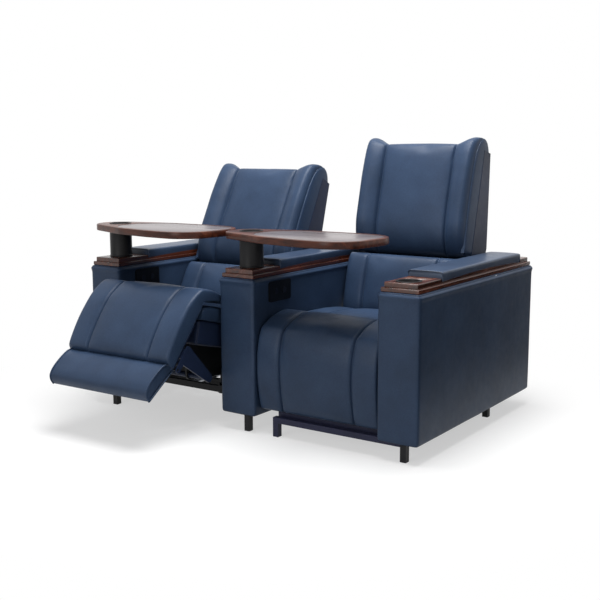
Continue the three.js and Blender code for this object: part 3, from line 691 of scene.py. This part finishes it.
def cloth_of(obj):
    cloth = obj.modifiers.new("Cloth", "CLOTH")
    settings = cloth.settings
    settings.quality = CLOTH_QUALITY
    settings.mass = CLOTH_MASS
    settings.tension_stiffness = CLOTH_STRETCH
    settings.compression_stiffness = CLOTH_STRETCH
    settings.shear_stiffness = CLOTH_SHEAR
    settings.bending_stiffness = CLOTH_BEND
    settings.use_pressure = True
    settings.uniform_pressure_force = CLOTH_PRESSURE
    settings.vertex_group_mass = hold_still(obj)
    settings.effector_weights.gravity = 0
    cloth.point_cache.frame_start = 1
    cloth.point_cache.frame_end = CLOTH_FRAMES
    return cloth


def settle(obj):
    """Blows the cushion up a little as cloth, so that its panels stand between their seams."""
    mesh = obj.data
    before = np.empty(len(mesh.vertices) * 3)
    mesh.vertices.foreach_get("co", before)
    cloth = cloth_of(obj)
    for step in range(1, CLOTH_FRAMES + 1):
        bpy.context.scene.frame_set(step)
    apply_modifier(obj, cloth)
    after = np.empty_like(before)
    mesh.vertices.foreach_get("co", after)
    move = (after - before).reshape(-1, 3)
    size = np.linalg.norm(move, axis=1, keepdims=True)
    move *= np.minimum(1.0, CLOTH_CAP / np.maximum(size, np.finfo(float).eps))
    mesh.vertices.foreach_set("co", (before.reshape(-1, 3) + move).ravel())
    bpy.context.scene.frame_set(1)
    obj.vertex_groups.clear()
    mesh.update()


def place(obj, matrix):
    obj.data.transform(matrix)
    obj.data.update()


def seat_place():
    """From the drawing of a seat, with y from the arms' front, to the frame."""
    return Matrix.Translation((SEAT_X, ARM_FRONT + SETBACK, 0))


def back_place():
    return Matrix.Translation(BACK_PIVOT) @ Matrix.Rotation(math.radians(-LEAN), 4, "X")


def joint_motion(name):
    """The motion of a joint over its whole range."""
    joint = joints[name]
    axis = Vector(joint["axis"])
    if joint["type"] == "slide":
        return Matrix.Translation(axis * joint["range_m"][1])
    centre = Vector(joint["pos_m"])
    turn = Matrix.Rotation(math.radians(joint["range_deg"][1]), 4, axis)
    return Matrix.Translation(centre) @ turn @ Matrix.Translation(-centre)


def to_left(*chain):
    """Carries a piece of the upright right seat to its place on the open left seat."""
    shift = joint_at("tilt_left").x - joint_at("tilt_right").x
    motion = Matrix.Translation((shift, 0, 0))
    for name in chain:
        motion = motion @ joint_motion(name)
    return motion


def dress(obj, body, node):
    """Gives a finished piece its body and hides the node that it replaces."""
    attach(obj, body)
    if node:
        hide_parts(node)


def pair(obj, body, node):
    """Dresses the finished right piece and its left twin."""
    twin = obj.copy()
    twin.data = obj.data.copy()
    twin.name = obj.name.replace("right", "left")
    bpy.context.scene.collection.objects.link(twin)
    place(twin, to_left(*CHAINS[body]))
    for piece, side in ((obj, "right"), (twin, "left")):
        dress(piece, f"{body}_{side}", f"{node}_{side}" if node else None)


# Cushions of a seat


def upright_rows(inner, bottom, length, thick, shares):
    """Rows of a cushion that stands upright, from shares of its length and of its thickness."""
    return [(inner, bottom + a * length, inner - t * thick, bottom + a * length) for a, t in shares]


def leg_pad():
    rows = upright_rows(PAD_INNER, PAD_BOTTOM, PAD_FLAT, PAD_THICK, PAD_SHARES)
    centre = (LEG_PIVOT.y - ARM_FRONT - SETBACK, LEG_PIVOT.z)
    for degrees, thick in PAD_ARC_SHARES:
        angle = math.radians(degrees)
        outer = PAD_RADIUS + thick * PAD_THICK
        rows.append((centre[0] - PAD_RADIUS * math.cos(angle), centre[1] + PAD_RADIUS * math.sin(angle),
                     centre[0] - outer * math.cos(angle), centre[1] + outer * math.sin(angle)))
    half = half_width("legrest_pad_right")
    return cushion("legrest_pad_cover_right", smooth_curve(rows, PAD_STEPS), half, SEAM, NAVY,
                   rise=PAD_RISE, side=PAD_SIDE, radius=PAD_ROUND, narrow=0.0)


def seat_cushion():
    length = CUSHION_REAR - CUSHION_FRONT
    rows = [(CUSHION_FRONT + i * length, BOX_TOP + SLIP, CUSHION_FRONT + o * length,
             BOX_TOP + t * CUSHION_THICK) for i, o, t in CUSHION_SHARES]
    half = half_width("seat_cushion_right")
    return cushion("seat_cushion_cover_right", smooth_curve(rows, PLAIN_STEPS), half, SEAM, NAVY,
                   rise=CUSHION_RISE)


def lumbar():
    length = LUMBAR_TOP - LUMBAR_BOTTOM
    rows = upright_rows(LUMBAR_INNER, LUMBAR_BOTTOM, length, LUMBAR_THICK, LUMBAR_SHARES)
    half = half_width("lumbar_cushion_right")
    return cushion("lumbar_cover_right", smooth_curve(rows, PLAIN_STEPS), half, BACK_SEAM, NAVY,
                   rise=LUMBAR_RISE, radius=LUMBAR_ROUND)


def wing(x, along):
    """How far the wings of the back reach forward and up."""
    beyond = max(0.0, (abs(x) - BACK_SEAM) / (half_width("back_cushion_right") - BACK_SEAM))
    forward = WING_REACH * table_value(WING_SHARES, along) * table_value(WING_RISE, beyond)
    return forward, WING_LIFT * ease(beyond * WING_LIFT_RATE) * along ** WING_LIFT_POWER


def back_cushion():
    length = BACK_TOP - BACK_BOTTOM
    rows = upright_rows(BACK_INNER, BACK_BOTTOM, length, BACK_THICK, BACK_SHARES)
    half = half_width("back_cushion_right") - BACK_NARROW
    return cushion("back_cushion_cover_right", smooth_curve(rows, BACK_STEPS), half, BACK_SEAM, NAVY,
                   reach=wing, side=WING_SIDE, radius=WING_ROUND)


def back_sides():
    """The panels on the outer sides of the back, which close it from the wings to the rear shell."""
    points = [(y, z) for z, y in SIDE_FRONT + SIDE_LOBE + SIDE_REAR]
    outline = smooth_curve(points, PLAIN_STEPS).tolist()
    layers = [(inset_outline(outline, -i), z) for i, z in SIDE_ROUNDS]
    # The outline's y and z become the seat's, and its height the seat's x
    turn = Matrix(((0, 0, 1, 0), (1, 0, 0, 0), (0, 1, 0, 0), (0, 0, 0, 1)))
    half = half_width("back_cushion_right") - BACK_NARROW + SIDE_PROUD
    for side, name in ((-1, "inner"), (1, "outer")):
        obj = slab(f"back_side_{name}_right", layers, NAVY)
        place(obj, turn)
        place(obj, Matrix.Translation((half - SIDE_THICK, 0, 0)))
        if side < 0:
            place(obj, Matrix.Scale(-1, 4, (1, 0, 0)))
            obj.data.flip_normals()
        smooth_by_angle(obj)
        place(obj, back_place())
        pair(obj, "back", None)


def flap():
    rows = smooth_curve(upright_rows(-FLAP_INSET, 0, -FLAP_LENGTH, FLAP_THICK, FLAP_SHARES), PLAIN_STEPS)
    half = half_width("legrest_flap_right") - WELT
    obj = cushion("legrest_flap_cover_right", rows, half, 0.0, NAVY, rise=FLAP_RISE, side=FLAP_SIDE,
                  radius=FLAP_ROUND)
    loop = [(y, z) for y, z, _, _ in rows] + [(y, z) for _, _, y, z in rows[::-1]]
    welts = []
    for x in (MM - half, half - MM):
        welts.append(tube("flap_welt", [(x, y, z) for y, z in loop], WELT, NAVY))
    subdivide(obj)
    merge(obj, welts)
    place(obj, Matrix.Translation(FLAP_PIVOT) @ Matrix.Rotation(math.pi, 4, "X"))
    return obj


def cushions():
    for build, body, node, where in (
            (leg_pad, "legrest", "legrest_pad", seat_place),
            (seat_cushion, "seat", "seat_cushion", seat_place),
            (lumbar, "back", "lumbar_cushion", back_place),
            (back_cushion, "back", "back_cushion", back_place)):
        obj = build()
        settle(obj)
        subdivide(obj)
        place(obj, where())
        pair(obj, body, node)
    back_sides()
    pair(flap(), "flap", "legrest_flap")


# Boxes with soft edges


def axis_cuts(low, high, radius, spacing, seams):
    """Places along one side of a box, close together in its rounded edges and at its seams."""
    flat = high - low - 2 * radius
    steps = max(1, int(flat / spacing))
    cuts = [low + radius * share for share in ROUND_SHARES]
    cuts += [high - radius * share for share in ROUND_SHARES]
    cuts += [low + radius + flat * i / steps for i in range(steps + 1)]
    cuts += [seam + shift for seam in seams for shift in SEAM_SHIFTS]
    return sorted(cut for cut in {round(cut, CUT_DECIMALS) for cut in cuts} if low <= cut <= high)


def soft_box(name, low, high, radius, material, spacing, seams=((), (), ()), shape=None):
    """A box with rounded edges. shape(point, normal) gives how far a point stands out along its normal."""
    cuts = [axis_cuts(low[i], high[i], radius, spacing, seams[i]) for i in range(3)]
    inner_low = [low[i] + radius for i in range(3)]
    inner_high = [high[i] - radius for i in range(3)]
    vertices = []
    faces = []
    for axis in range(3):
        u, v = [i for i in range(3) if i != axis]
        for side in (low[axis], high[axis]):
            base = len(vertices)
            for a in cuts[u]:
                for b in cuts[v]:
                    point = [0.0, 0.0, 0.0]
                    point[axis], point[u], point[v] = side, a, b
                    core = Vector([min(max(point[i], inner_low[i]), inner_high[i]) for i in range(3)])
                    normal = (Vector(point) - core).normalized()
                    out = radius + (shape(Vector(point), normal) if shape else 0.0)
                    vertices.append(core + normal * out)
            rows = len(cuts[v])
            for i in range(len(cuts[u]) - 1):
                for j in range(rows - 1):
                    a = base + i * rows + j
                    faces.append((a, a + 1, a + rows + 1, a + rows))
    return make_object(name, vertices, faces, material)


# Arms


def arm_shape(low, high):
    """Padded faces, and a fuller roll along the top under the timber cap."""

    def shape(point, normal):
        bulge = 1.0
        for i in range(3):
            if abs(normal[i]) < 0.5:
                share = (point[i] - low[i]) / (high[i] - low[i])
                bulge *= math.sin(math.pi * min(1.0, max(0.0, share))) ** 0.5
        below = high[2] - point.z
        upright = 1 - abs(normal.z)
        roll = math.exp(-((below - ARM_ROLL) / ARM_ROLL) ** 2) * upright
        gathers = noise.noise(Vector((point.x * GATHER_RATE, point.y * GATHER_RATE, 0)))
        gathers *= math.exp(-below / GATHER_REACH)
        ripple = noise.noise(point * ARM_UNEVEN_RATE) * ARM_UNEVEN
        return ARM_SWELL * bulge + ripple * bulge + ARM_PROUD * roll + GATHER_DEPTH * gathers * upright

    return shape


def cup_bore(low, high, x, y):
    """A cylinder that cuts the room for a cup."""
    bpy.ops.mesh.primitive_cylinder_add(
        vertices=BORE_SIDES, radius=CUP_RADIUS + SLIP, depth=high - low, location=(x, y, (low + high) / 2))
    return bpy.context.object


def cup_centre(node):
    low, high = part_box(node)
    return (low[0] + high[0]) / 2, (low[1] + high[1]) / 2


def arm(side):
    low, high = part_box(f"arm_{side}")
    seams = ((), (), (high[2] - ARM_ROLL, high[2] - 2 * ARM_ROLL))
    obj = soft_box(f"arm_cover_{side}", low, high, ARM_RADIUS, NAVY, ARM_SPACING, seams,
                   arm_shape(low, high))
    subdivide(obj)
    if side == "right":
        carve(obj, cup_bore(CAP_TOP - CUP_DEPTH - MM, CAP_TOP, *cup_centre("cup_holder_right")))
    dress(obj, "base", f"arm_{side}")


def arm_cap(side):
    low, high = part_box(f"arm_cap_{side}")
    seam = low[2] + CAP_LOWER_THICK
    lower = soft_box(f"arm_cap_lower_{side}", low, (high[0], high[1], seam + MM), CAP_LOWER_RADIUS,
                     WALNUT_Y, PLAIN_SPACING)
    upper = soft_box(f"arm_cap_upper_{side}", (low[0] + CAP_STEP, low[1] + CAP_STEP, seam - MM),
                     (high[0] - CAP_STEP, high[1] - CAP_STEP, high[2]), CAP_UPPER_RADIUS,
                     WALNUT_Y, PLAIN_SPACING)
    for obj in (lower, upper):
        if side == "right":
            carve(obj, cup_bore(CAP_TOP - CUP_DEPTH, CAP_TOP + MM, *cup_centre("cup_holder_right")))
        dress(obj, "base", f"arm_cap_{side}")


def arm_pad(side):
    low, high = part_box(f"arm_pad_{side}")
    length = high[1] - low[1] - ARM_PAD_SHORT
    thick = high[2] - low[2] - ARM_PAD_LOW
    rows = smooth_curve([(a * length, -ARM_PAD_DROP, a * length, t * thick) for a, t in ARM_PAD_SHARES],
                        ARM_PAD_STEPS)
    obj = cushion(f"arm_pad_cover_{side}", rows, half_width(f"arm_pad_{side}"), 0.0, NAVY_PAD,
                  rise=ARM_PAD_RISE, side=ARM_PAD_SIDE, radius=ARM_PAD_RADIUS)
    place(obj, Matrix.Translation(((low[0] + high[0]) / 2, low[1], low[2])))
    subdivide(obj)
    dress(obj, "base", f"arm_pad_{side}")


# Round pieces and tables


def circle(x, y, radius):
    """Points round a circle."""
    angles = [2 * math.pi * i / ROUND_SIDES for i in range(ROUND_SIDES)]
    return [(x + radius * math.cos(angle), y + radius * math.sin(angle)) for angle in angles]


def lathe(name, profile, x, y, z, material):
    """A turned piece from its profile of radius and height."""
    vertices = [(px, py, z + height) for radius, height in profile for px, py in circle(x, y, radius)]
    obj = make_object(name, vertices, ring_faces(len(profile), ROUND_SIDES), material)
    modifier = obj.modifiers.new("edges", "BEVEL")
    modifier.width = TURNED_BEVEL
    modifier.segments = 2
    modifier.limit_method = "ANGLE"
    modifier.angle_limit = math.radians(TURNED_ANGLE)
    apply_modifier(obj, modifier)
    obj.data.shade_smooth()
    return obj


def cup(name, node, x, y, top, body):
    inner = CUP_RADIUS - CUP_WALL
    lip = CUP_RADIUS + CUP_LIP
    floor = CUP_WALL - CUP_DEPTH
    profile = (
        (0, -CUP_DEPTH), (CUP_RADIUS, -CUP_DEPTH), (CUP_RADIUS, SLIP), (lip, SLIP), (lip, 2.5 * MM),
        (inner + MM, CUP_LIP_THICK), (inner, MM), (inner, floor + CUP_WALL), (inner - CUP_CORNER, floor),
        (0, floor))
    dress(lathe(name, profile, x, y, top, BLACK_PLASTIC), body, node)


def post(side):
    low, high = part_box(f"table_post_{side}")
    x, y = cup_centre(f"table_post_{side}")
    radius = half_width(f"table_post_{side}")
    height = high[2] - low[2]
    neck = radius - POST_GROOVE
    head = height - POST_HEAD
    profile = (
        (0, 0), (radius, 0), (radius, POST_FOOT), (neck, POST_FOOT + POST_GROOVE), (neck, head),
        (radius, head + POST_GROOVE), (radius, height), (POST_BORE, height),
        (POST_BORE, height - POST_BORE_DEPTH), (0, height - POST_BORE_DEPTH))
    obj = lathe(f"table_post_cover_{side}", profile, x, y, low[2], BLACK_PLASTIC)
    dress(obj, "base", f"table_post_{side}")


def hull(circles):
    """The outline stretched round circles given as x, y, radius."""
    points = sorted({(round(px, ROUND_DECIMALS), round(py, ROUND_DECIMALS))
                     for x, y, radius in circles for px, py in circle(x, y, radius)})

    def chain(source):
        kept = []
        for p in source:
            while len(kept) > 1 and ((kept[-1][0] - kept[-2][0]) * (p[1] - kept[-2][1])
                                     - (kept[-1][1] - kept[-2][1]) * (p[0] - kept[-2][0])) <= 0:
                kept.pop()
            kept.append(p)
        return kept[:-1]

    return chain(points) + chain(points[::-1])


def table_circles(inset, with_end=True):
    corner = TABLE_REACH - TABLE_CORNER
    circles = [(corner, -TABLE_SPREAD, TABLE_CORNER - inset), (corner, TABLE_SPREAD, TABLE_CORNER - inset),
               (TABLE_WAIST[0], 0, TABLE_WAIST[1] - inset), (TABLE_BELLY[0], 0, TABLE_BELLY[1] - inset)]
    return circles + ([(0, 0, TABLE_END - inset)] if with_end else [])


def table(side):
    x, y = cup_centre(f"table_post_{side}")
    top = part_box(f"table_top_{side}")[1][2]
    bottom = top - TABLE_EDGE
    rim = hull(table_circles(0))
    inner = hull(table_circles(TABLE_RIM, False))
    body_layers = [(inset_outline(rim, i), bottom + z) for i, z in TABLE_ROUNDS]
    pocket_layers = [(inner, top - TABLE_POCKET), (inner, top + POCKET_OVERRUN)]
    face_layers = [(inset_outline(inner, i), top + z) for i, z in FACE_ROUNDS]
    edge = slab(f"table_body_{side}", body_layers, WALNUT_X)
    carve(edge, slab("table_pocket", pocket_layers, WALNUT_X))
    carve(edge, cup_bore(bottom - MM, top + MM, 0, 0))
    face = slab(f"table_face_{side}", face_layers, TABLE_FACE)
    turn = Matrix.Translation((x, y, 0)) @ Matrix.Rotation(math.radians(TABLE_SWING), 4, "Z")
    for obj, node, slot in ((edge, "table_top", "walnut"), (face, "table_mat", "laminate")):
        obj.data.shade_flat()
        smooth_by_angle(obj)
        place(obj, turn)
        dress(obj, f"table_{side}", f"{node}_{side}")
    cup(f"table_cup_cover_{side}", f"table_cup_{side}", x, y, top, f"table_{side}")


# Seat box, valance and plain metal


def seat_box():
    # The seat box takes the navy leather darkened as painted shade
    obj = soft_box("seat_box_cover_right", *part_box("seat_box_right"), BOX_ROUND, NAVY_PAINTED_SHADE, BOX_SPACING)
    subdivide(obj)
    pair(obj, "seat", "seat_box")


def valance():
    """A dark strip that closes the gap between the front rail and the leg rest."""
    low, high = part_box("front_rail_right")
    front = ARM_FRONT + VALANCE_SETBACK
    rear = front + VALANCE_THICK
    obj = soft_box("valance_right", (low[0], front, VALANCE_BOTTOM), (high[0], rear, VALANCE_TOP), MM,
                   NAVY_STRIP, PLAIN_SPACING)
    dress(obj, "base", None)


def dress_frame():
    """Gives the solids that stay in the scene their materials."""
    looks = {
        "foot_rail": BLACK_STEEL, "front_rail": NAVY_STRIP, "base_frame": BLACK_STEEL,
        "drive_motor": BLACK_PLASTIC, "glide_carriage": BLACK_STEEL, "drive_rod": ZINC,
        # The leg rest's frame and board and the back shell take the navy leather darkened as painted shade
        "seat_frame": BLACK_STEEL, "legrest_frame": NAVY_PAINTED_SHADE, "legrest_board": NAVY_PAINTED_SHADE,
        "legrest_flap_board": BLACK_STEEL, "back_frame": BLACK_STEEL, "back_shell": NAVY_PAINTED_SHADE,
        "switch_panel": GLOSS_PLASTIC, "switch_button": GUNMETAL}
    for name, obj in frame["nodes"].items():
        for start, material in looks.items():
            if name.startswith(start):
                obj.data.materials.clear()
                obj.data.materials.append(material)


# Studio


def camera_sees(tree):
    """1 for the rays of the camera, of a reflection and of glass, 0 for the others."""
    path = add_node(tree, "ShaderNodeLightPath")
    seen = path.outputs["Is Camera Ray"]
    for kind in ("Is Glossy Ray", "Is Transmission Ray"):
        either = add_node(tree, "ShaderNodeMath", operation="MAXIMUM")
        tree.links.new(seen, either.inputs[0])
        tree.links.new(path.outputs[kind], either.inputs[1])
        seen = either.outputs["Value"]
    return seen


def mixed(tree, factor, first, second):
    node = add_node(tree, "ShaderNodeMixShader")
    tree.links.new(factor, node.inputs["Fac"])
    tree.links.new(first, node.inputs[1])
    tree.links.new(second, node.inputs[2])
    return node.outputs["Shader"]


def white_far_away(tree, near):
    """Fades a shader to plain white away from the object."""
    white = add_node(tree, "ShaderNodeEmission", Strength=1.0)
    texture = add_node(tree, "ShaderNodeTexCoord")
    away = add_node(tree, "ShaderNodeVectorMath", operation="LENGTH")
    tree.links.new(texture.outputs["Object"], away.inputs[0])
    fade = add_node(tree, "ShaderNodeMapRange", interpolation_type="SMOOTHSTEP")
    fade.inputs["From Min"].default_value = FLOOR_FADE[0]
    fade.inputs["From Max"].default_value = FLOOR_FADE[1]
    tree.links.new(away.outputs["Value"], fade.inputs["Value"])
    return mixed(tree, fade.outputs["Result"], near, white.outputs["Emission"])


def floor_material():
    """A floor that the camera sees as white and that still darkens in the object's shadow."""
    material, tree, shader = new_material("studio_floor")
    shader.inputs["Base Color"].default_value = (FLOOR_GREY, FLOOR_GREY, FLOOR_GREY, 1)
    shader.inputs["Roughness"].default_value = FLOOR_ROUGHNESS
    shader.inputs["Specular IOR Level"].default_value = 0.0
    glow = add_node(tree, "ShaderNodeEmission", Strength=FLOOR_GLOW)
    both = add_node(tree, "ShaderNodeAddShader")
    tree.links.new(shader.outputs["BSDF"], both.inputs[0])
    tree.links.new(glow.outputs["Emission"], both.inputs[1])
    seen = white_far_away(tree, both.outputs["Shader"])
    chosen = mixed(tree, camera_sees(tree), shader.outputs["BSDF"], seen)
    tree.links.new(chosen, tree.nodes["Material Output"].inputs["Surface"])
    return material


def dark_card():
    """A black card beside the right arm that only reflections see, as a studio flag would be."""
    (front, rear), (low, high) = CARD_Y, CARD_Z
    corners = [(CARD_X, front, low), (CARD_X, rear, low), (CARD_X, rear, high), (CARD_X, front, high)]
    material, tree, shader = new_material("flag_black")
    shader.inputs["Base Color"].default_value = CARD_BLACK
    shader.inputs["Specular IOR Level"].default_value = 0.0
    card = make_object("studio_flag", corners, [(0, 1, 2, 3)], material)
    card.visible_camera = False
    card.visible_shadow = False
    card.visible_diffuse = False


def studio():
    scene = bpy.context.scene
    scene.view_settings.view_transform = "Standard"
    bpy.ops.mesh.primitive_plane_add(size=FLOOR_SIZE, location=(0, 0, 0))
    floor = bpy.context.object
    floor.name = "studio_floor"
    floor.data.materials.append(floor_material())
    world = bpy.data.worlds.new("studio")
    world.use_nodes = True
    scene.world = world
    tree = world.node_tree
    background = tree.nodes["Background"]
    strength = add_node(tree, "ShaderNodeMapRange")
    strength.inputs["To Min"].default_value = AMBIENT
    strength.inputs["To Max"].default_value = 1.0
    tree.links.new(camera_sees(tree), strength.inputs["Value"])
    tree.links.new(strength.outputs["Result"], background.inputs["Strength"])
    background.inputs["Color"].default_value = WHITE
    dark_card()
    for values in LAMPS:
        lamp(*values)


def lamp(name, where, target, power):
    light = bpy.data.lights.new(name, "AREA")
    light.shape = "DISK"
    light.size = LAMP_SIZE
    light.energy = power
    obj = bpy.data.objects.new(name, light)
    obj.location = where
    obj.rotation_euler = (Vector(target) - Vector(where)).to_track_quat("-Z", "Y").to_euler()
    bpy.context.scene.collection.objects.link(obj)


def camera():
    azimuth = math.radians(VIEW_AZIMUTH)
    elevation = math.radians(VIEW_ELEVATION)
    back = Vector((math.sin(azimuth) * math.cos(elevation), -math.cos(azimuth) * math.cos(elevation),
                   math.sin(elevation)))
    data = bpy.data.cameras.new("photo_view")
    data.lens = VIEW_FOCAL
    data.sensor_width = SENSOR
    obj = bpy.data.objects.new("photo_view", data)
    turn = back.to_track_quat("Z", "Y").to_matrix().to_4x4()
    roll = Matrix.Rotation(math.radians(VIEW_ROLL), 4, "Z")
    obj.matrix_world = Matrix.Translation(Vector(VIEW_STAND) + ROW_SHIFT) @ turn @ roll
    bpy.context.scene.collection.objects.link(obj)
    bpy.context.scene.camera = obj


camera()
studio()
dress_frame()
cushions()
for arm_side in ("left", "middle", "right"):
    arm(arm_side)
    arm_cap(arm_side)
    arm_pad(arm_side)
cup("cup_holder_cover_right", "cup_holder_right", *cup_centre("cup_holder_right"), CAP_TOP, "base")
for table_side in ("left", "middle"):
    post(table_side)
    table(table_side)
seat_box()
valance()
